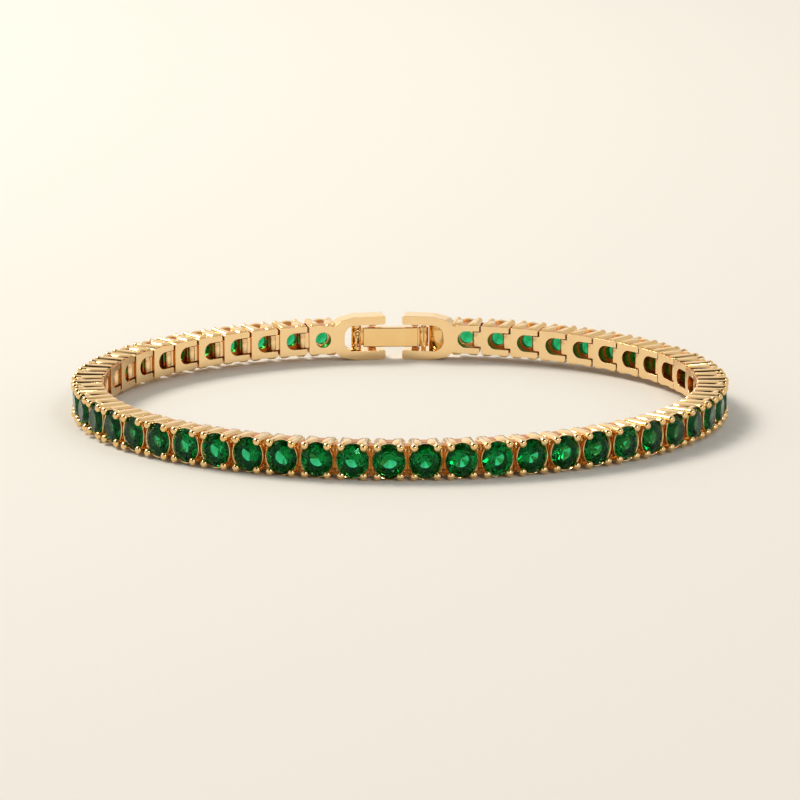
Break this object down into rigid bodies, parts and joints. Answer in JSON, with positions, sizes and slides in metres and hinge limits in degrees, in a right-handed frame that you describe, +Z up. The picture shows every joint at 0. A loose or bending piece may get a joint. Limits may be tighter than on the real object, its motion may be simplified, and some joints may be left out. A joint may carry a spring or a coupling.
{
  "type": "tennis bracelet",
  "caption": "Tennis bracelet of square four-prong gold links with round emerald-green stones, closed by a flat lever clasp between two forks.",
  "frame": {"origin": "below the middle of the outer box, on the surface that the bracelet stands on", "axes": "+X across the oval with the clasp on the far side, +Y towards the clasp, +Z up along the wrist"},
  "size_m": [0.0682, 0.0582, 0.0049],
  "materials": {
    "gold": "polished yellow gold",
    "emerald": "cut and polished"
  },
  "bodies": {
    "bracelet": {"link_row_right": "gold", "link_row_left": "gold", "clasp_fork_right": "gold", "clasp_fork_left": "gold", "end_stone_right": "emerald", "end_stone_left": "emerald", "clasp_hinge_pin": "gold", "clasp_catch_pin": "gold"},
    "lever": {"clasp_lever": "gold"}
  },
  "joints": [
    {"name": "lever_hinge", "type": "hinge", "parent": "bracelet", "child": "lever", "pos_m": [0.00257, 0.02729, 0.00245], "axis": [0, 0.0106, -0.9999], "range_deg": [0, 110]}
  ]
}
